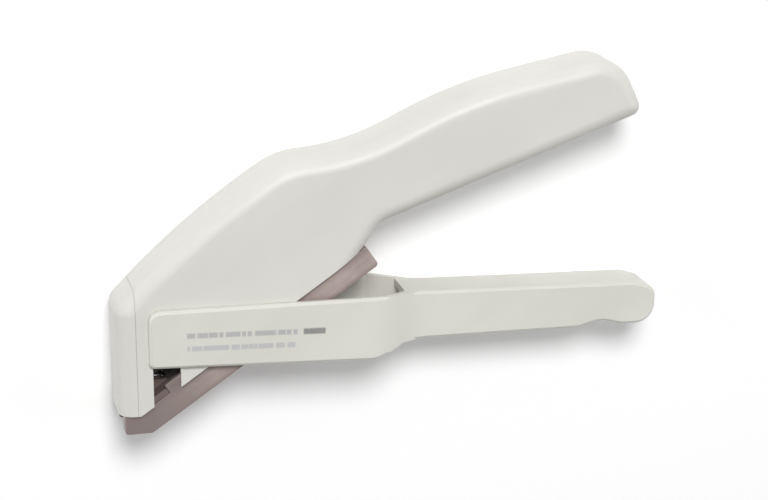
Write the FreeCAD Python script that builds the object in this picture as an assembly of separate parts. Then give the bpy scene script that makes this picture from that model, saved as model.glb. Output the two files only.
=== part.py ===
import FreeCAD, Part
import math
import os

# Skin stapler lying on its side, in millimetres.
# X runs along the squeeze lever to its rear end. Y points away from the skin, so a staple
# leaves along -Y. Z is up from the table, across the stapler's thickness.
# The origin is on the lever's pivot axis, on the cheek face that lies on the table.

# Staples
WIRE = 0.58
CROWN = 13.4
LEG = 3.2
STAPLES = 35
STAPLE_GAP = 0.012

# Clearances
RUNNING = 0.05
SLIDING = 0.15
SIDE_GAP = 0.3
CHEEK_GAP = 0.2
TOUCH = 0.02

# Moulded walls and edges
BODY_WALL = 1.5
BODY_RIM = 2.6
BODY_EDGE = 4.0
LEVER_WALL = 1.6
LEVER_EDGE = 0.7
STRIP_WALL = 1.0
STRIP_FLOOR = 1.2
STRIP_SETBACK = 1.2
RIB = 1.2
RIB_DEPTH = 2.5

# Half-widths across the stapler, each from the piece that it holds
STRIP_INNER = CROWN / 2 + SIDE_GAP
STRIP_HALF = STRIP_INNER + STRIP_WALL
BODY_HALF = STRIP_HALF + STRIP_SETBACK
BODY_INNER = BODY_HALF - BODY_WALL
FORK_INNER = BODY_HALF + CHEEK_GAP
LEVER_HALF = FORK_INNER + LEVER_WALL
HANDLE_HALF = 6.0
MID = LEVER_HALF

# Nose, measured from the pivot axis
NOSE_REACH = 27.2
NOSE_DROP = 27.5
NOSE_HEIGHT = 4.6
NOSE_COLUMN_END = 5.0
NOSE_COVER_DEPTH = 3.2
NOSE_LIP = 1.3
RAIL_TONGUE = 1.2
TIP_FLAT = 6.7
RELEASE_NOTCH = 4.0

# Cartridge strip
STRIP_ANGLE = 34.2
STRIP_DEPTH = 5.7
STRIP_LENGTH = 69.2
PLUG_LENGTH = 4.1

# Corners of the housing's back, from the nose to the grip
NOSE_RADIUS = 4.0
BACK_X = -9.6
BACK_Y = 23.6
BACK_RADIUS = 190.0
HUMP_X = 13.6
HUMP_Y = 38.4
HUMP_RADIUS = 20.0
NECK_X = 31.4
NECK_Y = 39.7
NECK_RADIUS = 60.0
PALM_X = 59.2
PALM_Y = 53.1
PALM_RADIUS = 118.0

# Grip
GRIP_ANGLE = 19.5
GRIP_REACH = 105.2
GRIP_HEIGHT = 15.1
GRIP_END_SLANT = 6.8
GRIP_TOP_RADIUS = 10.0
GRIP_LOW_RADIUS = 2.5
UNDER_X = 37.5
UNDER_Y = 21.7
UNDER_RADIUS = 6.0

# Window beside the nose
WINDOW_WIDTH = 6.8
WINDOW_BEHIND_NOSE = 7.1
WINDOW_TOP = -9.5

# Squeeze lever
CHEEK_MARGIN = 2.4
CHEEK_TOP = 4.5
CHEEK_DROP = 10.0
CHEEK_REAR_DROP = 12.5
SHOULDER_START = 38.0
SHOULDER_END = 46.0
WEB_START = 44.0
HANDLE_TOP = 2.6
HANDLE_END_TOP = 0.7
HANDLE_DROP = 9.6
HANDLE_END_DROP = 10.4
LEVER_REACH = 110.6
LEVER_TRAVEL = 14.0
RIB_PITCH = 10.0
STOP_LENGTH = 9.1
NOTCH_LENGTH = 11.5
NOTCH_DEPTH = 1.6
HANDLE_END_SLANT = 5.5

# Pins
PIVOT_RADIUS = 2.0
DRIVE_RADIUS = 1.0
DRIVE_BEHIND_NOSE = 8.6
DRIVE_ANGLE = 5.0
PIN_DEPTH = 1.0
POST_RADIUS = 2.4
POST_PIN = 1.2

# Staple rail, anvil and cover
RAIL_SHEET = 0.8
RAIL_TOP = 5.1
RAIL_SLOT = 1.2
TONGUE_HALF = 3.1
ANVIL_PLATE = 1.2
ANVIL_LENGTH = 5.5
COVER_PLATE = 1.15
FLANGE = 1.2

# Former and its carrier
FORMER_PLATE = 1.2
FORMER_MARGIN = 0.1
FORMER_TOP = 3.5
CARRIER_DEPTH = 8.0
SKIRT = 1.6
SKIRT_DROP = 10.0
CARRIER_DROP = 2.4
CARRIER_TOP = 5.0
RIVET_RADIUS = 1.0
RIVET_SPREAD = 3.5

# Pusher, rod and springs
PUSHER_LENGTH = 10.0
LUG_LENGTH = 3.0
ROD_RADIUS = 0.75
FEED_WIRE = 0.4
FEED_COILS = 11
RETURN_WIRE = 0.6
RETURN_RADIUS = 2.2
RETURN_COILS = 6
SPRING_POCKET = 1.5

# Snap tabs that hold the strip in the housing
TAB_PLACES = (12.0, 36.0, 60.0)
TAB_LENGTH = 5.0
TAB_HEIGHT = 2.5
TAB_BARB = 0.3

# Posts that join the housing's halves, ribs that hold the cover down, ribs in the grip
POST_PLACES = ((-13.5, 13.0), (13.0, 28.0), (52.0, 37.0), (90.0, 49.0))
COVER_RIB_PLACES = (20.0, 44.0, 56.0)
GRIP_RIB_PLACES = (56.0, 68.0, 80.0)

FAR = 400.0


def vec(x, y, z=0.0):
    return FreeCAD.Vector(x, y, z)


def outline(corners, place=vec):
    """A closed wire round corners (a, b, radius). A radius of 0 leaves a sharp corner."""
    ends = []
    count = len(corners)
    for i, (a, b, radius) in enumerate(corners):
        here = place(a, b)
        before = place(*corners[i - 1][:2]) - here
        after = place(*corners[(i + 1) % count][:2]) - here
        if radius == 0:
            ends.append((here, None, here))
            continue
        half = before.getAngle(after) / 2
        before.normalize()
        after.normalize()
        inward = before + after
        inward.normalize()
        reach = radius / math.tan(half)
        middle = here + inward * (radius / math.sin(half) - radius)
        ends.append((here + before * reach, middle, here + after * reach))
    edges = []
    for i, (start, middle, end) in enumerate(ends):
        if middle is not None:
            edges.append(Part.Arc(start, middle, end).toShape())
        following = ends[(i + 1) % count][0]
        if end.distanceToPoint(following) > 1e-6:
            edges.append(Part.LineSegment(end, following).toShape())
    return Part.Wire(edges)


def slab(corners, z_low, z_high):
    """Corners of the side view made solid between two heights above the table."""
    solid = Part.Face(outline(corners)).extrude(vec(0, 0, z_high - z_low))
    solid.translate(vec(0, 0, z_low))
    return solid


def prism(corners, half_width):
    """Corners of the side view made solid, as far to both sides of the mid-plane."""
    return slab(corners, MID - half_width, MID + half_width)


def side_pair(corners, near, far):
    """Two mirrored slabs, from near to far off the mid-plane."""
    upper = slab(corners, MID + near, MID + far)
    lower = slab(corners, MID - far, MID - near)
    return Part.makeCompound([upper, lower])


def rectangle(x_low, y_low, x_high, y_high, radius=0.0):
    places = [(x_low, y_low), (x_high, y_low), (x_high, y_high), (x_low, y_high)]
    return [(x, y, radius) for x, y in places]


def plan_prism(corners):
    """Corners (x, z) of the plan view made solid through the whole height."""
    wire = outline(corners, lambda x, z: vec(x, -FAR, z))
    return Part.Face(wire).extrude(vec(0, 2 * FAR, 0))


def cross_post(x, y, radius, z_low, z_high):
    """A six-sided post across the stapler; radius reaches its flats."""
    reach = radius / math.cos(math.radians(30))
    angles = [math.radians(60 * k) for k in range(6)]
    corners = [(x + reach * math.cos(a), y + reach * math.sin(a), 0) for a in angles]
    return slab(corners, z_low, z_high)


def cross_cylinder(x, y, radius, half_width):
    """A cylinder across the stapler, centred on the mid-plane."""
    base = vec(x, y, MID - half_width)
    return Part.makeCylinder(radius, 2 * half_width, base, vec(0, 0, 1))


def fuse_all(solids):
    return solids[0].multiFuse(solids[1:]).removeSplitter()


# Places along the strip: u runs up its slope from the nose's heel, w rises square to it.
SLOPE = math.radians(STRIP_ANGLE)
NOSE_X = -NOSE_REACH
FRONT_X = NOSE_X - NOSE_LIP
TIP_Y = -NOSE_DROP
COLUMN_END_Y = TIP_Y + NOSE_COLUMN_END
HEEL_X = NOSE_X + TIP_FLAT


def strip_point(u, w):
    x = HEEL_X + u * math.cos(SLOPE) - w * math.sin(SLOPE)
    y = TIP_Y + u * math.sin(SLOPE) + w * math.cos(SLOPE)
    return x, y


def strip_y(x, w):
    """Height in Y, at x, of the strip's line at depth w."""
    return TIP_Y + (x - HEEL_X) * math.tan(SLOPE) + w / math.cos(SLOPE)


def strip_x(y, w):
    """Where the strip's line at depth w is at height y."""
    return HEEL_X + (y - TIP_Y - w / math.cos(SLOPE)) / math.tan(SLOPE)


def strip_u(x, w):
    """How far up the strip its line at depth w passes x."""
    return (x - HEEL_X + w * math.sin(SLOPE)) / math.cos(SLOPE)


def strip_band(u_low, u_high, w_low, w_high):
    """Corners of a bar along the strip, square to it at both ends."""
    places = [(u_low, w_low), (u_high, w_low), (u_high, w_high), (u_low, w_high)]
    return [(*strip_point(u, w), 0) for u, w in places]


def upright_band(x_low, u_high, w_low, w_high):
    """Corners of a bar along the strip whose front end is upright, as the staples are."""
    return [
        (x_low, strip_y(x_low, w_low), 0),
        (*strip_point(u_high, w_low), 0),
        (*strip_point(u_high, w_high), 0),
        (x_low, strip_y(x_low, w_high), 0),
    ]


# The nose's column: its front wall, the former, then the stack
COLUMN_X = NOSE_X + BODY_WALL
FORMER_X = COLUMN_X + SLIDING
FORMER_BACK_X = FORMER_X + FORMER_PLATE
SEAM_X = NOSE_X + NOSE_COVER_DEPTH
STACK_X = FORMER_BACK_X + SLIDING
FORMER_HALF = CROWN / 2

# The staple path
PITCH_X = WIRE + STAPLE_GAP
WEB_BOTTOM = RAIL_TOP - RAIL_SHEET
RAIL_HALF = CROWN / 2 - WIRE - SLIDING
CROWN_TOP = RAIL_TOP + TOUCH + WIRE * (math.cos(SLOPE) + math.sin(SLOPE))
COVER_BOTTOM = CROWN_TOP + SLIDING
COVER_TOP = COVER_BOTTOM + COVER_PLATE
COVER_HALF = BODY_INNER - 2 * RUNNING
COVER_END = STRIP_LENGTH - 3.5
PLUG_U = STRIP_LENGTH - PLUG_LENGTH
PUSHER_X = STACK_X + STAPLES * PITCH_X + RUNNING
PUSHER_U = strip_u(PUSHER_X, RAIL_TOP)
PUSHER_BACK_U = PUSHER_U + PUSHER_LENGTH
PUSHER_TRAVEL = STAPLES * PITCH_X / math.cos(SLOPE)
ROD_W = (STRIP_FLOOR + WEB_BOTTOM) / 2
LAND_Y = strip_y(FORMER_BACK_X - WIRE / 2, RAIL_TOP)
ANVIL_TOP = WEB_BOTTOM - TOUCH

# The drive
DRIVE_ARM = NOSE_REACH - DRIVE_BEHIND_NOSE
CHEEK_REACH = DRIVE_ARM + CHEEK_MARGIN
DRIVE_Y = DRIVE_ARM * math.tan(math.radians(DRIVE_ANGLE))
DRIVE_LOW_Y = -DRIVE_ARM * math.tan(math.radians(LEVER_TRAVEL - DRIVE_ANGLE))
STROKE = DRIVE_Y - DRIVE_LOW_Y
FORMER_TIP_Y = TIP_Y + FORMER_MARGIN + STROKE
CARRIER_BACK_X = FORMER_BACK_X + CARRIER_DEPTH
RIVET_Y = 3.5 - SKIRT_DROP
RIVET_PLACES = (MID - RIVET_SPREAD, MID + RIVET_SPREAD)
SEAT_HALF = RETURN_RADIUS + RETURN_WIRE
SEAT_Y = strip_y(SEAT_HALF - DRIVE_ARM, COVER_TOP) + TOUCH
PIVOT_BOSS = -strip_y(0, COVER_TOP) * math.cos(SLOPE) - SIDE_GAP


def body_corners():
    """Side view of the housing: nose, long sloping back, grip, and the line of the strip."""
    end_y = UNDER_Y + (GRIP_REACH - UNDER_X) * math.tan(math.radians(GRIP_ANGLE))
    seat_w = STRIP_DEPTH + TOUCH
    return [
        (FRONT_X, COLUMN_END_Y, 0),
        (FRONT_X, NOSE_HEIGHT, NOSE_RADIUS),
        (BACK_X, BACK_Y, BACK_RADIUS),
        (HUMP_X, HUMP_Y, HUMP_RADIUS),
        (NECK_X, NECK_Y, NECK_RADIUS),
        (PALM_X, PALM_Y, PALM_RADIUS),
        (GRIP_REACH - GRIP_END_SLANT, end_y + GRIP_HEIGHT, GRIP_TOP_RADIUS),
        (GRIP_REACH, end_y, GRIP_LOW_RADIUS),
        (UNDER_X, UNDER_Y, UNDER_RADIUS),
        (*strip_point(STRIP_LENGTH + SIDE_GAP, seat_w), 0),
        (strip_x(COLUMN_END_Y, seat_w), COLUMN_END_Y, 0),
    ]


def is_outer_edge(edge):
    """Whether an edge of the form runs along the nose's front, the back or the grip."""
    ends = [v.Point for v in edge.Vertexes]
    middle = edge.valueAt((edge.FirstParameter + edge.LastParameter) / 2)
    across = abs(ends[0].z - ends[-1].z) > BODY_HALF
    over_strip = middle.y - strip_y(middle.x, STRIP_DEPTH)
    return not across and middle.y > COLUMN_END_Y + 0.5 and over_strip > 0.5


def body_form(wall=0.0, rim=0.0):
    """The housing's form, drawn in by wall at its sides and by rim along its outline."""
    side = Part.Face(outline(body_corners()))
    if rim:
        side = side.makeOffset2D(-rim)
    half = BODY_HALF - wall
    form = side.extrude(vec(0, 0, 2 * half))
    form.translate(vec(0, 0, MID - half))
    return form


def rounded_body():
    """The housing's form with its outer edges rounded."""
    form = body_form()
    return form.makeFillet(BODY_EDGE, [edge for edge in form.Edges if is_outer_edge(edge)])


def column_opening():
    """The space between the side walls where the housing is open to the strip."""
    rear_u = STRIP_LENGTH - BODY_WALL
    return prism(upright_band(COLUMN_X, rear_u, 0, STRIP_DEPTH + BODY_RIM + RUNNING), BODY_INNER)


def window_cut():
    """The opening through both side walls, down to the strip."""
    x = NOSE_X + WINDOW_BEHIND_NOSE
    low = TIP_Y
    corners = [
        (x, low, 0),
        (x + WINDOW_WIDTH, low, 0),
        (x + WINDOW_WIDTH, WINDOW_TOP, 0.8),
        (x, WINDOW_TOP, 0.8),
    ]
    return prism(corners, FAR)


def drive_slot_cut():
    """Upright slots in the side walls that the drive pin runs in; their ends are its stops."""
    half = DRIVE_RADIUS + SLIDING
    end = DRIVE_RADIUS + RUNNING
    corners = rectangle(
        -DRIVE_ARM - half, DRIVE_LOW_Y - end, -DRIVE_ARM + half, DRIVE_Y + end, end - 0.01
    )
    return prism(corners, FAR)


def tab_recesses():
    """Pockets in the housing's walls for the strip's snap tabs and their barbs."""
    cuts = []
    for u in TAB_PLACES:
        ends = u - TAB_LENGTH / 2 - RUNNING, u + TAB_LENGTH / 2 + RUNNING
        top = STRIP_DEPTH + TAB_HEIGHT + SLIDING
        recess = strip_band(*ends, STRIP_DEPTH - 0.5, top)
        pocket = strip_band(*ends, STRIP_DEPTH + TAB_HEIGHT - 1 - SLIDING, top)
        cuts.append(side_pair(recess, STRIP_INNER - RUNNING, STRIP_HALF + RUNNING))
        cuts.append(side_pair(pocket, BODY_INNER, STRIP_HALF + TAB_BARB + RUNNING))
    return cuts


def cover_rib(u):
    """A rib on each wall that holds the staple cover down."""
    corners = strip_band(u - RIB / 2, u + RIB / 2, COVER_TOP + TOUCH, COVER_TOP + 4.0)
    return side_pair(corners, BODY_INNER - RIB_DEPTH, BODY_HALF)


def carrier_guide():
    """A rib on each wall behind the carrier, which keeps the former upright."""
    x = CARRIER_BACK_X + SLIDING
    return side_pair(rectangle(x, -7.5, x + RIB, 8.0), BODY_INNER - RIB_DEPTH, BODY_HALF)


def grip_rib(x):
    """A rib on each wall across the grip."""
    corners = rectangle(x - RIB / 2, -FAR, x + RIB / 2, FAR)
    return side_pair(corners, BODY_INNER - RIB_DEPTH, BODY_HALF)


def housing_shell():
    """Both halves and the nose cover as one hollow shell with its ribs and posts."""
    inner = body_form(BODY_WALL, BODY_RIM)
    core = body_form(BODY_WALL / 2, BODY_RIM - BODY_WALL / 2)
    shell = rounded_body().cut([inner, column_opening(), window_cut()])
    posts = [cross_post(x, y, POST_RADIUS, 0, 2 * MID) for x, y in POST_PLACES]
    posts.append(cross_cylinder(0, 0, PIVOT_BOSS, BODY_HALF))
    ribs = [cover_rib(u) for u in COVER_RIB_PLACES]
    ribs += [grip_rib(x) for x in GRIP_RIB_PLACES]
    ribs.append(carrier_guide())
    inside = [piece.common(core) for piece in posts + ribs]
    shell = shell.multiFuse(inside)
    pivot_bore = cross_cylinder(0, 0, PIVOT_RADIUS + RUNNING, FAR)
    return shell.cut([pivot_bore, drive_slot_cut(), *tab_recesses()])


def housing_half(shell, upper):
    """One half of the housing, behind the nose cover. The upper half takes the posts' pins."""
    corners = rectangle(SEAM_X + RUNNING, -FAR, FAR, FAR)
    reach = 4.0
    if upper:
        half = shell.common(slab(corners, MID, MID + FAR))
        top = MID + reach + SIDE_GAP
        return half.cut([cross_post(x, y, POST_PIN + TOUCH, MID, top) for x, y in POST_PLACES])
    half = shell.common(slab(corners, MID - FAR, MID))
    pins = [cross_post(x, y, POST_PIN, MID - 1, MID + reach) for x, y in POST_PLACES]
    return half.multiFuse(pins)


def nose_cover(shell):
    """The nose's front: a U in plan, with rails inside that guide the former's edges."""
    front = shell.common(prism(rectangle(-FAR, -FAR, SEAM_X, FAR), FAR))
    column_half = FORMER_HALF + SLIDING
    column = rectangle(COLUMN_X, TIP_Y, SEAM_X + 2 * RAIL_TONGUE, FORMER_TOP + SIDE_GAP)
    low = COLUMN_END_Y + RAIL_TONGUE
    seats = side_pair(rectangle(COLUMN_X, low, SEAM_X, FORMER_TOP), column_half, BODY_INNER + TOUCH)
    tongue = rectangle(COLUMN_X, low, SEAM_X + RAIL_TONGUE, FORMER_TOP)
    tongues = side_pair(tongue, column_half, BODY_INNER - SLIDING)
    cover = fuse_all([front, *seats.Solids, *tongues.Solids])
    return cover.cut(prism(column, column_half))


def cartridge_strip():
    """The channel along the underside, with the nose box at its front."""
    shape = prism([
        (NOSE_X, TIP_Y, 0.8),
        (HEEL_X, TIP_Y, 1.5),
        (*strip_point(STRIP_LENGTH, 0), 1.0),
        (*strip_point(STRIP_LENGTH, STRIP_DEPTH), 0.6),
        (strip_x(COLUMN_END_Y, STRIP_DEPTH), COLUMN_END_Y - TOUCH, 0),
        (NOSE_X, COLUMN_END_Y - TOUCH, 0),
    ], STRIP_HALF)
    hollow = prism([
        (COLUMN_X, strip_y(COLUMN_X, STRIP_FLOOR), 0),
        (*strip_point(FAR, STRIP_FLOOR), 0),
        (COLUMN_X, FAR, 0),
    ], STRIP_INNER)
    notch = prism(
        rectangle(NOSE_X - 1, TIP_Y - 1, COLUMN_X + 0.5, TIP_Y + 4.0, 0.9), RELEASE_NOTCH
    )
    tabs = []
    for u in TAB_PLACES:
        ends = u - TAB_LENGTH / 2, u + TAB_LENGTH / 2
        top = STRIP_DEPTH + TAB_HEIGHT
        tabs += side_pair(strip_band(*ends, STRIP_DEPTH - 1, top), STRIP_INNER, STRIP_HALF).Solids
        barb = side_pair(strip_band(*ends, top - 1, top), STRIP_HALF - 0.2, STRIP_HALF + TAB_BARB)
        tabs += barb.Solids
    return fuse_all([shape.cut([hollow, notch]), *tabs])


def strip_end_plug():
    """Closes the strip's rear end and holds the guide rod."""
    corners = strip_band(PLUG_U, STRIP_LENGTH, STRIP_FLOOR + TOUCH, STRIP_DEPTH)
    shape = prism(corners, STRIP_INNER - TOUCH)
    return shape.cut(along_strip(PLUG_U - 1, PLUG_U + 2.5, ROD_RADIUS + TOUCH))


def along_strip(u_low, u_high, radius):
    """A cylinder along the strip, on the guide rod's axis."""
    base = vec(*strip_point(u_low, ROD_W), MID)
    way = vec(math.cos(SLOPE), math.sin(SLOPE), 0)
    return Part.makeCylinder(radius, u_high - u_low, base, way)


def staple_rail():
    """An inverted U of steel sheet that the staples straddle, slotted for the pusher."""
    rear_u = PLUG_U - RUNNING
    outer = prism(upright_band(STACK_X, rear_u, STRIP_FLOOR + TOUCH, RAIL_TOP), RAIL_HALF)
    inner = prism(strip_band(-20, rear_u + 1, 0, WEB_BOTTOM), RAIL_HALF - RAIL_SHEET)
    slot_u = PUSHER_BACK_U - LUG_LENGTH - PUSHER_TRAVEL - SLIDING
    slot = prism(strip_band(slot_u, rear_u - 3, 0, RAIL_TOP + 1), RAIL_SLOT)
    mouth = prism(rectangle(-FAR, -FAR, 0, TIP_Y + 0.3), FAR)
    return outer.cut([inner, slot, mouth])


def anvil():
    """The hardened plate under the rail's front, with the tongue that a staple bends round."""
    x = STACK_X
    root = prism(upright_band(x, ANVIL_LENGTH, ANVIL_TOP - ANVIL_PLATE, ANVIL_TOP),
                 RAIL_HALF - RAIL_SHEET - RUNNING)
    bottom = strip_y(x, ANVIL_TOP - ANVIL_PLATE)
    tongue = prism([
        (FORMER_X, LAND_Y - ANVIL_PLATE, 0.3),
        (x, bottom, 0),
        (x + 1.0, strip_y(x + 1.0, ANVIL_TOP - ANVIL_PLATE), 0),
        (x + 1.0, strip_y(x + 1.0, ANVIL_TOP), 0),
        (x - RUNNING, strip_y(x - RUNNING, ANVIL_TOP), 0),
        (x - RUNNING, LAND_Y, 0),
        (FORMER_X, LAND_Y, 0),
    ], TONGUE_HALF)
    lug = prism(strip_band(ANVIL_LENGTH - 1.2, ANVIL_LENGTH, STRIP_FLOOR + SIDE_GAP, ANVIL_TOP), 3.0)
    hole = along_strip(ANVIL_LENGTH - 2, ANVIL_LENGTH + 1, ROD_RADIUS + TOUCH)
    return fuse_all([root, tongue, lug]).cut(hole)


def staple(x):
    """An open staple standing across the rail, its rear face at x plus the wire."""
    under = strip_y(x + WIRE, RAIL_TOP) + TOUCH
    top = under + WIRE
    tip = under - LEG
    half = CROWN / 2
    side = [(half, tip + WIRE), (half, top)]
    inside = [(half - WIRE, under), (half - WIRE, tip)]
    corners = side + [(-z, y) for z, y in reversed(side)]
    corners += [(-z, y) for z, y in reversed(inside)] + inside
    wire = outline([(z, y, 0) for z, y in corners], lambda z, y: vec(x, y, MID + z))
    return Part.Face(wire).extrude(vec(WIRE, 0, 0))


def staple_stack():
    return Part.makeCompound([staple(STACK_X + k * PITCH_X) for k in range(STAPLES)])


def staple_cover():
    """The moulded cover over the stack, with the return spring's seat and a front flange."""
    plate = prism(upright_band(STACK_X, COVER_END, COVER_BOTTOM, COVER_TOP), COVER_HALF)
    skirt = side_pair(
        upright_band(SEAM_X + 2, COVER_END, STRIP_DEPTH + TOUCH, COVER_TOP), STRIP_INNER, COVER_HALF
    )
    front = prism(rectangle(-FAR, -FAR, SEAM_X + 2, FAR), FAR)
    narrow = prism(rectangle(-FAR, -FAR, SEAM_X + 2, FAR), FORMER_HALF)
    plate = plate.cut(front.cut(narrow))
    flange_top = -SKIRT_DROP - STROKE - SIDE_GAP
    flange = prism([
        (STACK_X, strip_y(STACK_X, COVER_BOTTOM), 0),
        (STACK_X + FLANGE, strip_y(STACK_X + FLANGE, COVER_BOTTOM), 0),
        (STACK_X + FLANGE, flange_top, 0.3),
        (STACK_X, flange_top, 0.3),
    ], FORMER_HALF)
    left = -DRIVE_ARM - SEAT_HALF
    right = -DRIVE_ARM + SEAT_HALF
    seat = prism([
        (left, strip_y(left, COVER_BOTTOM + 0.2), 0),
        (right, strip_y(right, COVER_BOTTOM + 0.2), 0),
        (right, SEAT_Y, 0),
        (left, SEAT_Y, 0),
    ], SEAT_HALF)
    post = Part.makeCylinder(
        RETURN_RADIUS - RETURN_WIRE, 2.5, vec(-DRIVE_ARM, SEAT_Y - 0.5, MID), vec(0, 1, 0)
    )
    notches = []
    for u in TAB_PLACES:
        ends = u - TAB_LENGTH / 2 - SLIDING, u + TAB_LENGTH / 2 + SLIDING
        notches.append(side_pair(strip_band(*ends, 0, 20), STRIP_INNER - SLIDING, BODY_HALF))
    return fuse_all([plate, *skirt.Solids, flange, seat, post]).cut(notches)


def staple_pusher():
    """A saddle that straddles the rail, with a lug below it on the guide rod."""
    half = STRIP_INNER - RUNNING
    top = COVER_BOTTOM - RUNNING
    saddle = prism(upright_band(PUSHER_X, PUSHER_BACK_U, STRIP_FLOOR + SIDE_GAP, top), half)
    channel = prism(strip_band(-20, PUSHER_BACK_U + 5, 0, RAIL_TOP + RUNNING), RAIL_HALF + RUNNING)
    lug_u = PUSHER_BACK_U - LUG_LENGTH
    neck = prism(strip_band(lug_u, PUSHER_BACK_U, ROD_W, top), RAIL_SLOT - 2 * RUNNING)
    lug = prism(strip_band(lug_u, PUSHER_BACK_U, STRIP_FLOOR + RUNNING, WEB_BOTTOM - RUNNING), 3.0)
    hole = along_strip(lug_u - 1, PUSHER_BACK_U + 1, ROD_RADIUS + RUNNING)
    return fuse_all([saddle.cut(channel), neck, lug]).cut(hole)


def spring_guide_rod():
    return along_strip(ANVIL_LENGTH - 1.2, PLUG_U + 2.4, ROD_RADIUS)


def coil(length, coils, radius, wire):
    """A coil spring along +Z from the origin: square wire in eight straight runs a turn."""
    runs = 8
    steps = coils * runs
    places = []
    for k in range(steps + 1):
        turn = 2 * math.pi * k / runs
        height = wire / 2 + (length - wire) * k / steps
        places.append(vec(radius * math.cos(turn), radius * math.sin(turn), height))
    way = (places[1] - places[0]).normalize()
    out = vec(1, 0, 0)
    up = way.cross(out)
    half = wire / 2
    signs = [(-1, -1), (1, -1), (1, 1), (-1, 1), (-1, -1)]
    section = [places[0] + out * (half * i) + up * (half * j) for i, j in signs]
    path = Part.makePolygon(places)
    return path.makePipeShell([Part.makePolygon(section)], True, False, 1)


def feed_spring():
    start = PUSHER_BACK_U + RUNNING
    length = PLUG_U - RUNNING - start
    radius = ROD_RADIUS + SLIDING + FEED_WIRE / 2
    spring = coil(length, FEED_COILS, radius, FEED_WIRE)
    spring.rotate(vec(0, 0, 0), vec(0, 1, 0), 90)
    spring.rotate(vec(0, 0, 0), vec(0, 0, 1), STRIP_ANGLE)
    spring.translate(vec(*strip_point(start, ROD_W), MID))
    return spring


def return_spring():
    length = SPRING_POCKET - CARRIER_DROP - SEAT_Y - 2 * RUNNING
    spring = coil(length, RETURN_COILS, RETURN_RADIUS, RETURN_WIRE)
    spring.rotate(vec(0, 0, 0), vec(1, 0, 0), -90)
    spring.translate(vec(-DRIVE_ARM, SEAT_Y + RUNNING, MID))
    return spring


def rivet(z, grow=0.0):
    """The shank of the rivet at height z, or the hole that it fills."""
    start = vec(FORMER_X, RIVET_Y, z)
    length = FORMER_PLATE + SKIRT
    return Part.makeCylinder(RIVET_RADIUS + grow, length, start, vec(1, 0, 0))


def former_plate():
    """The steel plate that drives the staple down; its two prongs pass beside the tongue."""
    slot_half = TONGUE_HALF + 2 * SLIDING
    slot_top = LAND_Y + STROKE + 0.4
    corners = [
        (-FORMER_HALF, FORMER_TIP_Y, 0),
        (-slot_half, FORMER_TIP_Y, 0.4),
        (-slot_half, slot_top, 0.8),
        (slot_half, slot_top, 0.8),
        (slot_half, FORMER_TIP_Y, 0.4),
        (FORMER_HALF, FORMER_TIP_Y, 0),
        (FORMER_HALF, FORMER_TOP - 1.5, 0),
        (FORMER_HALF - 1.5, FORMER_TOP, 0),
        (1.5 - FORMER_HALF, FORMER_TOP, 0),
        (-FORMER_HALF, FORMER_TOP - 1.5, 0),
    ]
    wire = outline(corners, lambda z, y: vec(FORMER_X, y, MID + z))
    plate = Part.Face(wire).extrude(vec(FORMER_PLATE, 0, 0))
    return plate.cut([rivet(z, TOUCH) for z in RIVET_PLACES])


def former_carrier():
    """The slider behind the former, with the drive pin's bore and the spring's pocket."""
    x = FORMER_BACK_X
    shape = prism([
        (x, -SKIRT_DROP, 0),
        (x + SKIRT, -SKIRT_DROP, 0),
        (x + SKIRT, -CARRIER_DROP, 0),
        (CARRIER_BACK_X, -CARRIER_DROP, 1.0),
        (CARRIER_BACK_X, CARRIER_TOP, 1.5),
        (x, CARRIER_TOP, 0),
    ], FORMER_HALF)
    bore = cross_cylinder(-DRIVE_ARM, DRIVE_Y, DRIVE_RADIUS + TOUCH, FAR)
    pocket = Part.makeCylinder(
        SEAT_HALF, SPRING_POCKET, vec(-DRIVE_ARM, -CARRIER_DROP, MID), vec(0, 1, 0)
    )
    return shape.cut([bore, pocket, *[rivet(z, TOUCH) for z in RIVET_PLACES]])


def carrier_rivets():
    """Two flush rivets that join the former to the carrier's skirt."""
    return Part.makeCompound([rivet(z) for z in RIVET_PLACES])


def staple_ejector():
    """A spring leaf under the anvil whose front end tips the closed staple off the tongue."""
    sheet = 0.3
    top = ANVIL_TOP - ANVIL_PLATE - TOUCH
    x = STACK_X
    leaf = prism(upright_band(x, ANVIL_LENGTH - 1.5, top - sheet, top), 2.2)
    lip = prism([
        (x, strip_y(x, top - sheet), 0),
        (x + 0.6, strip_y(x + 0.6, top - sheet) + 0.1, 0),
        (x + 0.4, strip_y(x, top - sheet) - 1.2, 0),
        (x + 0.1, strip_y(x, top - sheet) - 1.2, 0),
    ], 2.2)
    return fuse_all([leaf, lip])


def lever_side():
    """Side view of the lever: a deep cheek in front, a slim handle with a stop at its end."""
    stop_x = LEVER_REACH - STOP_LENGTH
    notch_x = stop_x - NOTCH_LENGTH
    return [
        (-CHEEK_REACH, -CHEEK_DROP, 1.5),
        (SHOULDER_START - 2.5, -CHEEK_REAR_DROP, 8.0),
        (WEB_START - 1, -HANDLE_DROP, 0),
        (notch_x, -HANDLE_END_DROP, 0),
        (notch_x + NOTCH_LENGTH / 2, -HANDLE_END_DROP + NOTCH_DEPTH, 8.0),
        (stop_x, -HANDLE_END_DROP, 3.0),
        (LEVER_REACH, -HANDLE_END_DROP - 0.2, 5.0),
        (LEVER_REACH, HANDLE_END_TOP - 2.0, 3.0),
        (LEVER_REACH - HANDLE_END_SLANT, HANDLE_END_TOP, 6.0),
        (SHOULDER_END + 6, HANDLE_TOP, 0),
        (SHOULDER_START - 2, CHEEK_TOP - 0.8, 0),
        (-CHEEK_REACH, CHEEK_TOP, 3.0),
    ]


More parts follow.
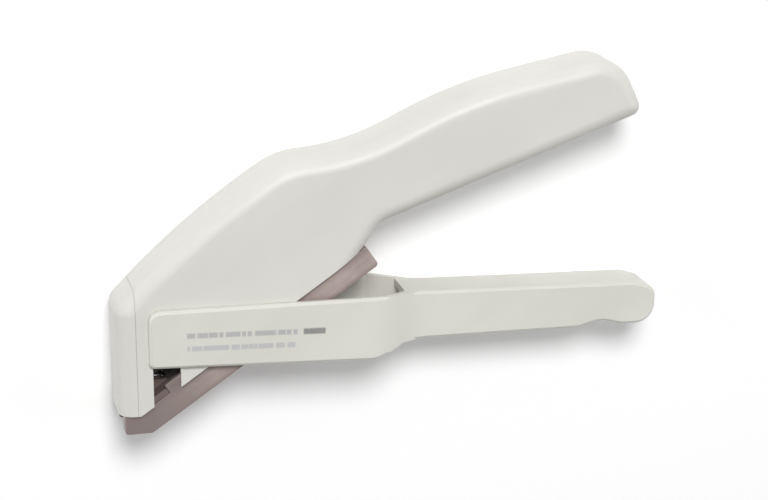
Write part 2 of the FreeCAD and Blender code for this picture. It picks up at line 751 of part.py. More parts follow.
def lever_plan(inset, front, rear):
    """Plan view of the lever: wide over the body, narrow at the handle."""
    slant = math.atan2(LEVER_HALF - HANDLE_HALF, SHOULDER_END - SHOULDER_START)
    shift = inset * math.tan(slant / 2)
    half_plan = [
        (front, LEVER_HALF - inset, 0),
        (SHOULDER_START - shift, LEVER_HALF - inset, 0),
        (SHOULDER_END - shift, HANDLE_HALF - inset, 0),
        (rear, HANDLE_HALF - inset, 0),
    ]
    lower = [(x, MID - half, r) for x, half, r in half_plan]
    upper = [(x, MID + half, r) for x, half, r in reversed(half_plan)]
    return plan_prism(lower + upper)


def handle_hollow():
    """The hollow of the lever in side view: through the fork, and below the handle's web."""
    web = HANDLE_TOP - LEVER_WALL
    end = LEVER_REACH - LEVER_WALL - 0.3
    fork = rectangle(-FAR, -FAR, WEB_START, FAR)
    handle = [
        (WEB_START - 1, -FAR, 0),
        (end, -FAR, 0),
        (end, -4.8, 1.2),
        (end - 3.0, HANDLE_END_TOP - LEVER_WALL, 2.5),
        (SHOULDER_END + 6, web, 0),
        (WEB_START - 1, web + 0.3, 0),
    ]
    return prism(fork, FAR).fuse(prism(handle, FAR))


def handle_ribs():
    """Cross ribs under the web, short of the handle's lower edges."""
    ribs = []
    x = WEB_START + RIB_PITCH
    while x < LEVER_REACH - RIB_PITCH / 2:
        rib = rectangle(x - RIB / 2, -HANDLE_DROP + 0.8, x + RIB / 2, HANDLE_END_TOP - 0.3)
        ribs.append(prism(rib, HANDLE_HALF - LEVER_WALL + 0.3))
        x += RIB_PITCH
    return ribs


def pin_recesses():
    """Blind holes inside the cheeks: a round one for the pivot, a slot for the drive pin."""
    near = FORK_INNER - 0.1
    pivot = []
    for side in (-1, 1):
        start = vec(0, 0, MID + side * near)
        depth = PIN_DEPTH + 0.1 + RUNNING
        pivot.append(Part.makeCylinder(PIVOT_RADIUS + RUNNING, depth, start, vec(0, 0, side)))
    half = DRIVE_RADIUS + RUNNING
    slot = [
        (DRIVE_ARM - half - 0.1, -half, half - 0.01),
        (DRIVE_ARM + half + 0.4, -half, half - 0.01),
        (DRIVE_ARM + half + 0.4, half, half - 0.01),
        (DRIVE_ARM - half - 0.1, half, half - 0.01),
    ]
    slots = side_pair(slot, near, FORK_INNER + PIN_DEPTH + RUNNING)
    slots.rotate(vec(0, 0, 0), vec(0, 0, 1), 180 - DRIVE_ANGLE)
    return [*pivot, slots]


def is_lever_edge(edge):
    """Whether an edge follows the outline of a cheek's or the handle's outer face."""
    ends = [v.Point for v in edge.Vertexes]
    level = abs(ends[0].z - ends[-1].z) < TOUCH
    x = edge.valueAt((edge.FirstParameter + edge.LastParameter) / 2).x
    return level and (x < SHOULDER_START - TOUCH or x > SHOULDER_END + TOUCH)


def squeeze_lever():
    """The forked lever: cheeks beside the body, and a ribbed handle under a closed web."""
    outer = prism(lever_side(), FAR).common(lever_plan(0.0, -CHEEK_REACH - 5, LEVER_REACH))
    edges = [edge for edge in outer.Edges if is_lever_edge(edge)]
    outer = outer.makeChamfer(LEVER_EDGE, edges)
    plan = lever_plan(LEVER_WALL, -CHEEK_REACH - 10, LEVER_REACH - LEVER_WALL)
    hollow = handle_hollow().common(plan)
    lever = outer.cut([hollow, *pin_recesses()])
    ribs = [rib.common(outer) for rib in handle_ribs()]
    return lever.multiFuse(ribs).removeSplitter()


def pivot_pin():
    return cross_cylinder(0, 0, PIVOT_RADIUS, FORK_INNER + PIN_DEPTH)


def drive_pin():
    return cross_cylinder(-DRIVE_ARM, DRIVE_Y, DRIVE_RADIUS, FORK_INNER + PIN_DEPTH)


def main():
    shell = housing_shell()
    nodes = {
        "housing_left": housing_half(shell, True),
        "housing_right": housing_half(shell, False),
        "nose_cover": nose_cover(shell),
        "cartridge_strip": cartridge_strip(),
        "strip_end_plug": strip_end_plug(),
        "staple_rail": staple_rail(),
        "anvil": anvil(),
        "staple_ejector": staple_ejector(),
        "staple_stack": staple_stack(),
        "staple_cover": staple_cover(),
        "staple_pusher": staple_pusher(),
        "feed_spring": feed_spring(),
        "spring_guide_rod": spring_guide_rod(),
        "former_plate": former_plate(),
        "former_carrier": former_carrier(),
        "carrier_rivets": carrier_rivets(),
        "drive_pin": drive_pin(),
        "return_spring": return_spring(),
        "squeeze_lever": squeeze_lever(),
        "pivot_pin": pivot_pin(),
    }
    os.makedirs("parts", exist_ok=True)
    for name, shape in nodes.items():
        print(name, "solids", len(shape.Solids), "volume", round(shape.Volume, 1), shape.isValid())
        shape.exportStep(f"parts/{name}.step")
    print("stroke", round(STROKE, 3), "pusher travel", round(PUSHER_TRAVEL, 3))


if __name__ == "__main__":
    main()
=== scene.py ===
import math

import bmesh
import bpy
from mathutils import Matrix, Vector


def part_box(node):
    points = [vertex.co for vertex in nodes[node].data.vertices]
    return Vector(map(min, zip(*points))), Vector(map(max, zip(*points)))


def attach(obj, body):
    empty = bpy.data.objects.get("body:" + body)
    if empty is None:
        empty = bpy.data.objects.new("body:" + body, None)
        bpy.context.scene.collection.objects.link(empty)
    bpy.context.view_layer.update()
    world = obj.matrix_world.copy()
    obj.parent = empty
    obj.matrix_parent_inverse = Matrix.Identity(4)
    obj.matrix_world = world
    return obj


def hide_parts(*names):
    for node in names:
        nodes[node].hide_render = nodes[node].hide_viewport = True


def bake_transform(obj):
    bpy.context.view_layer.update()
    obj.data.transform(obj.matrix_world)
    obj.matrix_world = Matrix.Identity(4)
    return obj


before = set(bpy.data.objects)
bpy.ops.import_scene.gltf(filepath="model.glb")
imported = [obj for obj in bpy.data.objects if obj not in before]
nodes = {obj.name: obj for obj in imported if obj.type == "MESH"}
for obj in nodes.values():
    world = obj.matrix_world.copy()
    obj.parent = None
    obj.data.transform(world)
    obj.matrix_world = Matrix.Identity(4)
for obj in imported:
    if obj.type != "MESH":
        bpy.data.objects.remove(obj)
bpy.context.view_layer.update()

# Skin stapler lying on its side, in metres, in the CAD model's frame.
MM = 0.001
WAY_X = Vector((1.0, 0.0, 0.0))
WAY_Y = Vector((0.0, 1.0, 0.0))
ORIGIN = Vector((0.0, 0.0, 0.0))
WHITE = (1.0, 1.0, 1.0, 1.0)

# Camera: the point at the picture's centre, the way and distance from there to the camera, the
# lens, and the nearest and farthest that it sees
CAMERA_TARGET = Vector((40.0, 12.5, 11.0)) * MM
CAMERA_WAY = Vector((-0.235, 0.295, 0.926)).normalized()
CAMERA_DISTANCE = 0.53333
CAMERA_LENS = 100.0
CAMERA_NEAR = 0.01
CAMERA_FAR = 50.0

# Light: a large soft key above the grip's back, and low fills from the nose's side and the handle's
WORLD_LEVEL = 0.25
KEY_WAY = Vector((-0.08, 0.69, 1.0)).normalized()
KEY_DISTANCE = 1.6
KEY_SIZE = 0.60
KEY_POWER = 18.5
FRONT_FILL_WAY = Vector((-1.0, 0.15, 0.35)).normalized()
FRONT_FILL_POWER = 5.0
REAR_FILL_WAY = Vector((1.0, 0.10, 0.55)).normalized()
REAR_FILL_POWER = 4.0
FILL_DISTANCE = 1.8
FILL_SIZE = 1.2

# Floor: its size and grey, and the glow that the camera sees, near the part and far off
FLOOR_SIZE = 6.0
FLOOR_COLOUR = 0.97
FLOOR_LIFT = 0.135
FAR_LIFT = 0.62
FAR_START = 0.30
FAR_END = 1.40

# Cartridge strip: its slope, where its lower line starts, its side's height, and where along it the
# darker tip has faded out and where it is full
STRIP_SLOPE = math.radians(34.2)
STRIP_WAY = Vector((math.cos(STRIP_SLOPE), math.sin(STRIP_SLOPE), 0.0))
HEEL = Vector((-20.5, -27.5, 0.0)) * MM
STRIP_SIDE = 5.8 * MM
TIP_FADE = (36.0 * MM, -4.0 * MM)

# The stapler's middle plane
MID = 11.0 * MM

# The lever's shoulder, where its cheeks step in to the handle: its two creases, how far each is
# rounded to both sides, the skin that moves, and the cuts that let it bend
SHOULDER_START = 38.0 * MM
SHOULDER_END = 46.0 * MM
SHOULDER_STEP = 5.0 * MM
SHOULDER_SLOPE = SHOULDER_STEP / (SHOULDER_END - SHOULDER_START)
SHOULDER_SOFT = 3.6 * MM
SHOULDER_SKIN = 0.8 * MM
SHOULDER_CUTS = 14
CUT_TOLERANCE = 0.0005 * MM

# Print on the upper cheek: its tilt, the height of the faces that take it, and its soft borders, then
# the left end, length, height and lower sides of two broken rows, and those of a dash behind the upper
PRINT_TILT = math.radians(-2.4)
PRINT_FACE = 21.9 * MM
PRINT_SOFT = 0.22 * MM
ROW_LEFT = -11.9 * MM
ROW_LENGTH = 27.3 * MM
ROW_HEIGHT = 1.3 * MM
UPPER_ROW = -2.75 * MM
LOWER_ROW = -6.05 * MM
DASH_LEFT = 16.9 * MM
DASH_LENGTH = 5.5 * MM
DASH_HEIGHT = 1.5 * MM
DASH_ROW = -2.85 * MM
# How many times its own height above the axis a row's gaps are shifted, so that no two rows match
GAP_SHIFT = 9

# Edges: points closer than this are welded, faces flatter than this joined, edges sharper rounded
WELD = 0.002 * MM
FLAT_ANGLE = math.radians(0.6)
SHARP_ANGLE = math.radians(28)

# The round on each piece's edges, and its segments on moulded pieces and on sheet metal
HOUSING_EDGE = 0.12 * MM
STRIP_EDGE = 0.2 * MM
LEVER_EDGE = 0.25 * MM
COVER_EDGE = 0.12 * MM
SADDLE_EDGE = 0.1 * MM
CARRIER_EDGE = 0.15 * MM
RAIL_EDGE = 0.05 * MM
ANVIL_EDGE = 0.08 * MM
FORMER_EDGE = 0.06 * MM
EJECTOR_EDGE = 0.04 * MM
MOULDED_SEGMENTS = 3
SHEET_SEGMENTS = 2

# Staples: their wire, step along X, number, legs and bends, and the share of the wire that is drawn
STAPLE_WIRE = 0.58 * MM
STAPLE_PITCH = 0.592 * MM
STAPLE_COUNT = 35
STAPLE_LEG = 3.2 * MM
STAPLE_BEND = 0.55 * MM
BEND_STEPS = 4
STAPLE_DRAWN = 0.98

# Springs: the radius of a coil's middle line, its wire and its open coils
RETURN_RADIUS = 2.2 * MM
RETURN_WIRE = 0.6 * MM
RETURN_COILS = 5
FEED_RADIUS = 1.1 * MM
FEED_WIRE = 0.4 * MM
FEED_COILS = 22

# Round wire: the sides of its section, and the points in one turn of a coil
TUBE_SIDES = 8
COIL_STEPS = 28

# The sizes of the marks in the materials, and the span in which most of a noise's values lie
FLOW_SIZE = 18.0 * MM
WAVE_SIZE = 22.0 * MM
SMEAR_SIZE = 11.0 * MM
SPECK_SIZE = 0.9 * MM
GRAIN_SIZE = 0.35 * MM
INK_WEAR_SIZE = 0.6 * MM
INK_GAP_SIZE = 1.4 * MM
NOISE_SPAN = (0.3, 0.7)
# Where the softened normal's cosine with the true one starts to show an edge, and shows it fully
EDGE_SPAN = (0.995, 0.86)
# Steel's fine lines: along the strip, across it from side to side, or none
DRAWN_ALONG = (0.05, 1.0, 1.0)
DRAWN_ACROSS = (1.0, 1.0, 0.05)
NOT_DRAWN = (1.0, 1.0, 1.0)

# The places of the Mix node's sockets for colours
MIX_FACTOR = 0
MIX_FIRST = 6
MIX_SECOND = 7
MIX_RESULT = 2


# Colours


def linear(red, green, blue):
    """A colour written as 0 to 255 on a screen, as the shader takes it."""
    steps = []
    for value in (red, green, blue):
        part = value / 255
        steps.append(part / 12.92 if part <= 0.04045 else ((part + 0.055) / 1.055) ** 2.4)
    return (*steps, 1.0)


def shaded(colour, factor):
    """A colour that is factor times as light."""
    return tuple(min(1.0, part * factor) for part in colour[:3]) + (1.0,)


# Material helpers


class Shading:
    """Short calls that add nodes to a shader tree."""

    def __init__(self, tree):
        self.tree = tree

    def feed(self, socket, value):
        """Gives an input the output of another node, or else a fixed number or colour."""
        if isinstance(value, bpy.types.NodeSocket):
            self.tree.links.new(value, socket)
        else:
            socket.default_value = value

    def add(self, kind, inputs, **settings):
        """Adds a node with these settings and inputs."""
        node = self.tree.nodes.new(kind)
        for name, value in settings.items():
            setattr(node, name, value)
        for name, value in inputs.items():
            self.feed(node.inputs[name], value)
        return node

    def level(self, source, between, to=(0.0, 1.0), shape="SMOOTHSTEP"):
        """source spread from one span to another, and held at their ends."""
        inputs = {"Value": source}
        inputs.update(zip(("From Min", "From Max", "To Min", "To Max"), (*between, *to)))
        return self.add("ShaderNodeMapRange", inputs, interpolation_type=shape).outputs["Result"]

    def calculate(self, operation, first, second):
        return self.add("ShaderNodeMath", {0: first, 1: second}, operation=operation).outputs["Value"]

    def seen(self):
        """1 where the camera looks, straight or in a mirror or through glass."""
        path = self.add("ShaderNodeLightPath", {}).outputs
        mirrored = self.calculate("MAXIMUM", path["Is Camera Ray"], path["Is Glossy Ray"])
        return self.calculate("MAXIMUM", mirrored, path["Is Transmission Ray"])


class Surface(Shading):
    """A material with a Principled shader, and calls for the nodes that drive it."""

    def __init__(self, name, roughness, **numbers):
        self.material = bpy.data.materials.new(name)
        self.material.use_nodes = True
        super().__init__(self.material.node_tree)
        self.shader = self.tree.nodes["Principled BSDF"]
        self.feed(self.shader.inputs["Roughness"], roughness)
        for socket, value in numbers.items():
            self.feed(self.shader.inputs[socket.replace("_", " ")], value)
        self.place = self.add("ShaderNodeTexCoord", {}).outputs["Object"]
        self.base = None
        self.relief = None

    def turned(self, angle, origin, stretch=(1.0, 1.0, 1.0)):
        """The object's coordinates from an origin, turned about Z so that X runs along angle."""
        moved = -(Matrix.Rotation(-angle, 4, "Z") @ origin)
        inputs = {"Vector": self.place, "Rotation": (0, 0, -angle), "Location": moved}
        mapped = self.add("ShaderNodeMapping", inputs).outputs["Vector"]
        scaled = self.add("ShaderNodeVectorMath", {0: mapped, 1: stretch}, operation="MULTIPLY")
        return scaled.outputs["Vector"]

    def parts(self, place):
        """The X, Y and Z of some coordinates."""
        return self.add("ShaderNodeSeparateXYZ", {"Vector": place}).outputs

    def noise(self, size, detail=2.0, rough=0.5, place=None):
        """Noise whose patches are about size metres across, from 0 to 1."""
        inputs = {"Scale": 1 / size, "Detail": detail, "Roughness": rough, "Vector": place or self.place}
        return self.add("ShaderNodeTexNoise", inputs).outputs["Fac"]

    def ramp(self, source, *stops):
        """A colour ramp with stops (place, colour)."""
        node = self.add("ShaderNodeValToRGB", {"Fac": source})
        ends = node.color_ramp.elements
        while len(ends) < len(stops):
            ends.new(0.5)
        for end, (place, colour) in zip(ends, stops):
            end.position = place
            end.color = colour
        return node.outputs["Color"]

    def mix(self, factor, first, second):
        """Two colours mixed, each a colour or an output."""
        inputs = {MIX_FACTOR: factor, MIX_FIRST: first, MIX_SECOND: second}
        return self.add("ShaderNodeMix", inputs, data_type="RGBA").outputs[MIX_RESULT]

    def colour(self, source):
        self.base = source
        self.feed(self.shader.inputs["Base Color"], source)

    def roughness(self, source):
        self.feed(self.shader.inputs["Roughness"], source)

    def bump(self, height, depth, strength=1.0):
        """Adds a relief of that depth in metres where height goes from 0 to 1."""
        inputs = {"Distance": depth, "Strength": strength, "Height": height}
        if self.relief is not None:
            inputs["Normal"] = self.relief
        self.relief = self.add("ShaderNodeBump", inputs).outputs["Normal"]
        self.feed(self.shader.inputs["Normal"], self.relief)

    def edges(self, radius):
        """1 beside an edge, within about radius of it, and 0 on open faces."""
        rounded = self.add("ShaderNodeBevel", {"Radius": radius}, samples=4).outputs["Normal"]
        true = self.add("ShaderNodeNewGeometry", {}).outputs["Normal"]
        cosine = self.add("ShaderNodeVectorMath", {0: rounded, 1: true}, operation="DOT_PRODUCT")
        return self.level(cosine.outputs["Value"], EDGE_SPAN)

    def bar(self, corner, length, height):
        """1 inside a printed bar on the faces above its corner, with slightly soft borders."""
        x, y, z = self.parts(self.turned(PRINT_TILT, corner))[:3]
        inside = self.level(z, (-PRINT_SOFT, 0.0))
        for source, size in ((x, length), (y, height)):
            for border in ((-PRINT_SOFT, PRINT_SOFT), (size + PRINT_SOFT, size - PRINT_SOFT)):
                inside = self.calculate("MULTIPLY", inside, self.level(source, border))
        return inside


# Materials


def moulded_plastic(name, light, dark, roughness):
    """Satin moulded plastic: slow flow marks, fine eroded grain, rubbed and dusty edges."""
    surface = Surface(
        name,
        roughness,
        Specular_IOR_Level=0.45,
        Subsurface_Weight=0.05,
        Subsurface_Radius=(0.0016, 0.0012, 0.0009),
        Subsurface_Scale=1.0,
    )
    flow = surface.turned(STRIP_SLOPE, ORIGIN, stretch=(0.35, 1.0, 1.0))
    patches = surface.noise(FLOW_SIZE, detail=3.0, rough=0.55, place=flow)
    specks = surface.noise(SPECK_SIZE, detail=2.0, rough=0.6)
    base = surface.mix(surface.level(patches, NOISE_SPAN), dark, light)
    base = surface.mix(surface.level(specks, (0.66, 0.8), to=(0.0, 0.18)), base, dark)
    worn = surface.level(specks, (0.35, 0.65), to=(0.25, 0.9))
    edge_tint = surface.calculate("MULTIPLY", surface.edges(0.4 * MM), worn)
    surface.colour(surface.mix(edge_tint, base, shaded(dark, 0.90)))
    smears = surface.noise(SMEAR_SIZE, detail=4.0, rough=0.6)
    surface.roughness(surface.level(smears, (0.3, 0.75), to=(roughness - 0.025, roughness + 0.03)))
    surface.bump(surface.noise(GRAIN_SIZE, detail=3.0, rough=0.65), depth=0.006 * MM)
    surface.bump(surface.noise(WAVE_SIZE, detail=1.0, rough=0.4), depth=0.012 * MM, strength=0.5)
    return surface


def ivory_plastic():
    colours = linear(222, 220, 215), linear(216, 215, 209)
    return moulded_plastic("ivory_plastic", *colours, roughness=0.43)


def lever_plastic():
    """The lever's plastic, another batch, with plain bars printed on its upper cheek."""
    colours = linear(223, 222, 215), linear(217, 216, 208)
    surface = moulded_plastic("lever_plastic", *colours, roughness=0.38)
    # Each bar's left end, lower side, length, height, ink, cover, and whether it breaks into dashes
    bars = (
        (ROW_LEFT, UPPER_ROW, ROW_LENGTH, ROW_HEIGHT, linear(160, 160, 167), 0.66, True),
        (ROW_LEFT, LOWER_ROW, ROW_LENGTH, ROW_HEIGHT, linear(170, 171, 182), 0.55, True),
        (DASH_LEFT, DASH_ROW, DASH_LENGTH, DASH_HEIGHT, linear(112, 112, 114), 0.80, False),
    )
    wear = surface.noise(INK_WEAR_SIZE, detail=3.0, rough=0.7)
    for left, low, length, height, ink, cover, broken in bars:
        corner = Vector((left, low + (left - ROW_LEFT) * math.tan(PRINT_TILT), PRINT_FACE))
        worn = surface.level(wear, (0.25, 0.55), to=(cover * 0.82, cover))
        mask = surface.calculate("MULTIPLY", surface.bar(corner, length, height), worn)
        if broken:
            shift = WAY_X * (left + GAP_SHIFT * low)
            along = surface.turned(PRINT_TILT, shift, stretch=(1.0, 0.0, 0.0))
            gaps = surface.noise(INK_GAP_SIZE, detail=1.0, rough=0.5, place=along)
            dashes = surface.level(gaps, (0.40, 0.45), to=(0.12, 1.0))
            mask = surface.calculate("MULTIPLY", mask, dashes)
        surface.colour(surface.mix(mask, surface.base, ink))
    return surface


def mauve_plastic(name, middle, border, tip, roughness):
    """Dusty mauve plastic, paler along the strip's middle and darker at its borders, a painted shade
    along its seams, and darker at its tip.
    """
    surface = Surface(
        name,
        roughness,
        Specular_IOR_Level=0.5,
        Subsurface_Weight=0.08,
        Subsurface_Radius=(0.002, 0.0012, 0.0011),
        Subsurface_Scale=1.0,
    )
    height = surface.parts(surface.turned(STRIP_SLOPE, HEEL, stretch=(1.0, 1 / STRIP_SIDE, 1.0)))["Y"]
    # The darker borders are painted shade along the strip's seams
    across = surface.ramp(height, (0.0, border), (0.22, middle), (0.66, middle), (1.0, border))
    cloud = surface.noise(6.0 * MM, detail=3.0, rough=0.55)
    base = surface.mix(surface.level(cloud, (0.3, 0.75), to=(0.0, 0.4)), across, border)
    drawn = surface.turned(STRIP_SLOPE, HEEL, stretch=(0.12, 1.0, 1.0))
    streaks = surface.noise(0.8 * MM, detail=3.0, rough=0.6, place=drawn)
    base = surface.mix(surface.level(streaks, (0.45, 0.8), to=(0.0, 0.25)), base, border)
    along = surface.parts(surface.turned(STRIP_SLOPE, HEEL))["X"]
    base = surface.mix(surface.level(along, TIP_FADE), base, tip)
    # Paler edges, partly rubbed wear and partly a painted highlight
    edge_tint = surface.calculate("MULTIPLY", surface.edges(0.3 * MM), 0.5)
    surface.colour(surface.mix(edge_tint, base, shaded(middle, 1.25)))
    smears = surface.noise(4.0 * MM, detail=3.0)
    surface.roughness(surface.level(smears, NOISE_SPAN, to=(roughness - 0.06, roughness + 0.08)))
    surface.bump(surface.noise(0.3 * MM, detail=2.0, rough=0.6), depth=0.005 * MM)
    return surface


def strip_plastic():
    # Middle, borders darkened by painted shade, and tip
    colours = linear(180, 165, 159), linear(134, 118, 115), linear(128, 115, 113)
    return mauve_plastic("mauve_plastic", *colours, roughness=0.38)


def window_shaded_mauve():
    """The strip's plastic, darkened by a painted shade for the nose's window."""
    colours = linear(134, 119, 116), linear(104, 91, 88), linear(112, 98, 95)
    return mauve_plastic("window_shaded_mauve", *colours, roughness=0.5)


def dark_plastic():
    """The dark plastic of the former's carrier, with a dull waxy bloom."""
    surface = Surface("dark_plastic", 0.5, Specular_IOR_Level=0.4)
    cloud = surface.noise(4.0 * MM, detail=4.0, rough=0.6)
    bloom = surface.level(cloud, NOISE_SPAN)
    surface.colour(surface.mix(bloom, linear(58, 54, 52), linear(74, 69, 66)))
    surface.roughness(surface.level(cloud, NOISE_SPAN, to=(0.42, 0.6)))
    surface.bump(surface.noise(0.4 * MM, detail=3.0), depth=0.008 * MM)
    return surface


def drawn_steel(name, colour, stretch, roughness):
    """Steel with fine lines drawn along the direction whose stretch is small, and dull patches."""
    surface = Surface(name, roughness, Metallic=1.0, Anisotropic=0.3)
    drawn = surface.turned(STRIP_SLOPE, HEEL, stretch)
    lines = surface.noise(0.5 * MM, detail=4.0, rough=0.7, place=drawn)
    dull = surface.noise(5.0 * MM, detail=3.0, rough=0.6)
    surface.colour(surface.mix(surface.level(lines, NOISE_SPAN), shaded(colour, 0.80), colour))
    surface.roughness(surface.level(dull, NOISE_SPAN, to=(roughness - 0.08, roughness + 0.1)))
    surface.bump(lines, depth=0.004 * MM)
    return surface


# Pieces


def add_piece(name, form, body, slot, surface, *replaced):
    """Makes a piece of a bmesh, which stands for the CAD nodes named last.

    A piece that bends between two bodies has None for its body.
    """
    mesh = bpy.data.meshes.new(name)
    form.to_mesh(mesh)
    form.free()
    piece = bpy.data.objects.new(name, mesh)
    bpy.context.scene.collection.objects.link(piece)
    for face in mesh.polygons:
        face.use_smooth = True
    mesh.materials.append(surface.material)
    if body is not None:
        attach(piece, body)
    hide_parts(*replaced)
    return piece


def rounding(x, crease):
    """How far the rounded face lies from the sharp one at x, beside a crease."""
    near = max(SHOULDER_SOFT - abs(x - crease), 0.0)
    return near ** 2 * SHOULDER_SLOPE / (4 * SHOULDER_SOFT)


def soften_shoulder(form):
    """Rounds the creases before and behind the lever's shoulder, on its two outer faces."""
    first = SHOULDER_START - SHOULDER_SOFT
    last = SHOULDER_END + SHOULDER_SOFT
    for k in range(SHOULDER_CUTS + 1):
        point = WAY_X * (first + k * (last - first) / SHOULDER_CUTS)
        whole = form.verts[:] + form.edges[:] + form.faces[:]
        bmesh.ops.bisect_plane(form, geom=whole, plane_co=point, plane_no=WAY_X, dist=CUT_TOLERANCE)
    for vertex in form.verts:
        x = vertex.co.x
        if not first < x < last:
            continue
        outer = MID - SHOULDER_SLOPE * min(max(x - SHOULDER_START, 0.0), SHOULDER_END - SHOULDER_START)
        height = vertex.co.z - MID
        if abs(height) > outer - SHOULDER_SKIN:
            move = rounding(x, SHOULDER_END) - rounding(x, SHOULDER_START)
            vertex.co.z += move * math.copysign(1.0, height)


def refined(name, node, body, slot, surface, edge, segments=MOULDED_SEGMENTS, reshape=None):
    """Stands for a CAD node: the same solid with its sharp edges softened by a small round."""
    form = bmesh.new()
    form.from_mesh(nodes[node].data)
    bmesh.ops.remove_doubles(form, verts=form.verts, dist=WELD)
    bmesh.ops.dissolve_limit(form, angle_limit=FLAT_ANGLE, verts=form.verts, edges=form.edges)
    if reshape is not None:
        reshape(form)
    piece = add_piece(name, form, body, slot, surface, node)
    bevel = piece.modifiers.new("edge_round", "BEVEL")
    bevel.width = edge
    bevel.segments = segments
    bevel.limit_method = "ANGLE"
    bevel.angle_limit = SHARP_ANGLE
    bevel.use_clamp_overlap = True
    bevel.miter_outer = "MITER_ARC"
    normals = piece.modifiers.new("even_shading", "WEIGHTED_NORMAL")
    normals.keep_sharp = True


def tube(form, points, radius):
    """Adds a closed round tube along some points, with flat ends."""
    rings = []
    side = None
    for k, point in enumerate(points):
        way = (points[min(k + 1, len(points) - 1)] - points[max(k - 1, 0)]).normalized()
        if side is None:
            side = way.orthogonal().normalized()
        side = (side - way * side.dot(way)).normalized()
        other = way.cross(side)
        ring = []
        for j in range(TUBE_SIDES):
            turn = 2 * math.pi * j / TUBE_SIDES
            around = side * math.cos(turn) + other * math.sin(turn)
            ring.append(form.verts.new(point + radius * around))
        rings.append(ring)
    for first, second in zip(rings, rings[1:]):
        for j in range(TUBE_SIDES):
            k = (j + 1) % TUBE_SIDES
            form.faces.new((first[j], first[k], second[k], second[j]))
    form.faces.new(list(reversed(rings[0])))
    form.faces.new(rings[-1])


def ends_of(node, way):
    """The two points where the line along way through a node's middle leaves the node."""
    low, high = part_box(node)
    middle = (Vector(low) + Vector(high)) / 2
    reach = [way.dot(vertex.co) for vertex in nodes[node].data.vertices]
    return (middle + way * (end - way.dot(middle)) for end in (min(reach), max(reach)))


def coil_spring(name, node, way, radius, wire, coils, surface):
    """A compression spring of round wire with a closed turn at each end, held between two bodies."""
    start, end = ends_of(node, way)
    side = way.orthogonal().normalized()
    other = way.cross(side)
    turns = coils + 2
    pitch = ((end - start).length - 3 * wire) / coils
    points = []
    for k in range(COIL_STEPS * turns + 1):
        turn = k / COIL_STEPS
        closed = min(turn, 1) + max(turn - 1 - coils, 0)
        rise = closed * wire + min(max(turn - 1, 0), coils) * pitch
        around = side * math.cos(2 * math.pi * turn) + other * math.sin(2 * math.pi * turn)
        points.append(start + way * (wire / 2 + rise) + radius * around)
    form = bmesh.new()
    tube(form, points, wire / 2)
    piece = add_piece(name, form, None, "spring_steel", surface, node)
    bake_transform(piece)


def staple_line(x, top, half):
    """The line of one staple's wire: up one leg, over the rail with a bend at each side, and down."""
    foot = top - STAPLE_LEG - STAPLE_WIRE / 2
    points = [Vector((x, foot, MID - half))]
    for sign, steps in ((-1, range(BEND_STEPS + 1)), (1, range(BEND_STEPS, -1, -1))):
        for step in steps:
            angle = math.pi / 2 * step / BEND_STEPS
            y = top - STAPLE_BEND + STAPLE_BEND * math.sin(angle)
            z = MID + sign * (half - STAPLE_BEND + STAPLE_BEND * math.cos(angle))
            points.append(Vector((x, y, z)))
    points.append(Vector((x, foot, MID + half)))
    return points


def staple_pile(surface):
    """The staples in the strip: round wire bent square over the rail, one behind the other.
    """
    low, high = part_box("staple_stack")
    half = (high.z - low.z) / 2 - STAPLE_WIRE / 2
    first = low.x + STAPLE_WIRE / 2
    first_top = low.y + STAPLE_LEG + STAPLE_WIRE / 2
    form = bmesh.new()
    for k in range(STAPLE_COUNT):
        behind = k * STAPLE_PITCH
        line = staple_line(first + behind, first_top + behind * math.tan(STRIP_SLOPE), half)
        tube(form, line, STAPLE_WIRE / 2 * STAPLE_DRAWN)
    piece = add_piece("staples", form, None, "staple_wire", surface, "staple_stack")
    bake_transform(piece)


def dress(node, surface):
    """Gives a CAD node that stays as it is its detailed material."""
    for slot in nodes[node].material_slots:
        slot.material = surface.material


# Camera, light and floor


def make_camera():
    camera = bpy.data.objects.new("camera", bpy.data.cameras.new("camera"))
    bpy.context.scene.collection.objects.link(camera)
    right = WAY_Y.cross(CAMERA_WAY).normalized()
    turn = Matrix((right, CAMERA_WAY.cross(right), CAMERA_WAY)).transposed().to_4x4()
    camera.matrix_world = Matrix.Translation(CAMERA_TARGET + CAMERA_WAY * CAMERA_DISTANCE) @ turn
    camera.data.lens = CAMERA_LENS
    camera.data.clip_start = CAMERA_NEAR
    camera.data.clip_end = CAMERA_FAR
    bpy.context.scene.camera = camera


def make_lamp(name, way, distance, size, power):
    """A round soft lamp that shines on the part from some way off."""
    lamp = bpy.data.lights.new(name, "AREA")
    lamp.shape = "DISK"
    lamp.size = size
    lamp.energy = power
    holder = bpy.data.objects.new(name, lamp)
    bpy.context.scene.collection.objects.link(holder)
    holder.location = CAMERA_TARGET + way * distance
    holder.rotation_mode = "QUATERNION"
    holder.rotation_quaternion = (-way).to_track_quat("-Z", "Y")


def make_light():
    """The lamps, and a world that is white where it is seen and dimmer as a light."""
    world = bpy.data.worlds.new("studio")
    world.use_nodes = True
    shading = Shading(world.node_tree)
    background = world.node_tree.nodes["Background"]
    shading.feed(background.inputs["Color"], WHITE)
    strength = shading.level(shading.seen(), (0.0, 1.0), to=(WORLD_LEVEL, 1.0), shape="LINEAR")
    shading.feed(background.inputs["Strength"], strength)
    bpy.context.scene.world = world
    make_lamp("key", KEY_WAY, KEY_DISTANCE, KEY_SIZE, KEY_POWER)
    make_lamp("front_fill", FRONT_FILL_WAY, FILL_DISTANCE, FILL_SIZE, FRONT_FILL_POWER)
    make_lamp("rear_fill", REAR_FILL_WAY, FILL_DISTANCE, FILL_SIZE, REAR_FILL_POWER)


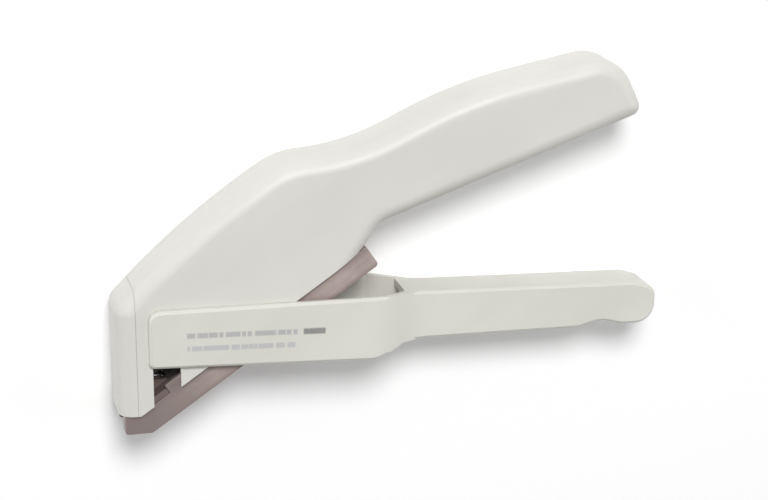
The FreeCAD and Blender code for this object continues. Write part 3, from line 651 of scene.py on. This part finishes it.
def floor_material():
    """White, lifted towards white where the camera sees it, most far off; it keeps the shadow."""
    material = bpy.data.materials.new("floor")
    material.use_nodes = True
    material.node_tree.nodes.clear()
    shading = Shading(material.node_tree)
    grey = (FLOOR_COLOUR, FLOOR_COLOUR, FLOOR_COLOUR, 1.0)
    matt = shading.add("ShaderNodeBsdfDiffuse", {"Color": grey}).outputs["BSDF"]
    place = shading.add("ShaderNodeTexCoord", {}).outputs["Object"]
    distance = shading.add("ShaderNodeVectorMath", {0: place}, operation="LENGTH").outputs["Value"]
    lift = shading.level(distance, (FAR_START, FAR_END), to=(FLOOR_LIFT, FAR_LIFT), shape="LINEAR")
    strength = shading.calculate("MULTIPLY", shading.seen(), lift)
    glow = shading.add("ShaderNodeEmission", {"Strength": strength}).outputs["Emission"]
    both = shading.add("ShaderNodeAddShader", {0: matt, 1: glow}).outputs["Shader"]
    shading.add("ShaderNodeOutputMaterial", {"Surface": both})
    return material


def make_floor():
    mesh = bpy.data.meshes.new("floor")
    half = FLOOR_SIZE / 2
    corners = [(-half, -half, 0), (half, -half, 0), (half, half, 0), (-half, half, 0)]
    mesh.from_pydata(corners, [], [(0, 1, 2, 3)])
    mesh.materials.append(floor_material())
    floor = bpy.data.objects.new("floor", mesh)
    bpy.context.scene.collection.objects.link(floor)


make_camera()
make_light()
make_floor()

# The moulded outside: housing, nose, strip and lever
ivory = ivory_plastic()
refined("housing_upper", "housing_left", "body", "ivory_plastic", ivory, HOUSING_EDGE)
refined("housing_lower", "housing_right", "body", "ivory_plastic", ivory, HOUSING_EDGE)
refined("nose_front", "nose_cover", "body", "ivory_plastic", ivory, HOUSING_EDGE)

mauve = strip_plastic()
refined("strip_channel", "cartridge_strip", "body", "mauve_plastic", mauve, STRIP_EDGE)
refined("strip_plug", "strip_end_plug", "body", "mauve_plastic", mauve, STRIP_EDGE)

printed = lever_plastic()
refined(
    "lever", "squeeze_lever", "lever", "ivory_plastic", printed, LEVER_EDGE, reshape=soften_shoulder
)

# What bends or shortens as the joints move: staples and springs
staple_pile(drawn_steel("staple_wire", linear(208, 208, 210), DRAWN_ACROSS, roughness=0.28))

spring_steel = drawn_steel("spring_steel", linear(176, 177, 181), NOT_DRAWN, roughness=0.32)
coil_spring(
    "return_coil", "return_spring", WAY_Y, RETURN_RADIUS, RETURN_WIRE, RETURN_COILS, spring_steel,
)
coil_spring(
    "feed_coil", "feed_spring", STRIP_WAY, FEED_RADIUS, FEED_WIRE, FEED_COILS, spring_steel,
)

# The moulded inside: staple cover, pusher and the former's carrier
# The staple cover and the pusher take the strip's mauve darkened by painted shade
cover = window_shaded_mauve()
dark = dark_plastic()
refined("cover_moulding", "staple_cover", "body", "dark_plastic", cover, COVER_EDGE)
refined("pusher_saddle", "staple_pusher", "pusher", "dark_plastic", cover, SADDLE_EDGE)
refined("carrier_block", "former_carrier", "former", "dark_plastic", dark, CARRIER_EDGE)

# Sheet steel: rail, anvil, former and ejector
sheet = drawn_steel("sheet_steel", linear(196, 197, 199), DRAWN_ALONG, roughness=0.34)
refined("rail_sheet", "staple_rail", "body", "sheet_steel", sheet, RAIL_EDGE, SHEET_SEGMENTS)
refined("anvil_plate", "anvil", "body", "sheet_steel", sheet, ANVIL_EDGE, SHEET_SEGMENTS)
refined("driver_blade", "former_plate", "former", "sheet_steel", sheet, FORMER_EDGE, SHEET_SEGMENTS)
refined("ejector_leaf", "staple_ejector", "body", "sheet_steel", sheet, EJECTOR_EDGE, SHEET_SEGMENTS)

# Pins, rod and rivets stay as they are in the CAD model
pin_steel = drawn_steel("pin_steel", linear(188, 189, 192), DRAWN_ACROSS, roughness=0.26)
for node in ("spring_guide_rod", "pivot_pin", "drive_pin", "carrier_rivets"):
    dress(node, pin_steel)

bpy.context.scene.view_settings.view_transform = "Standard"
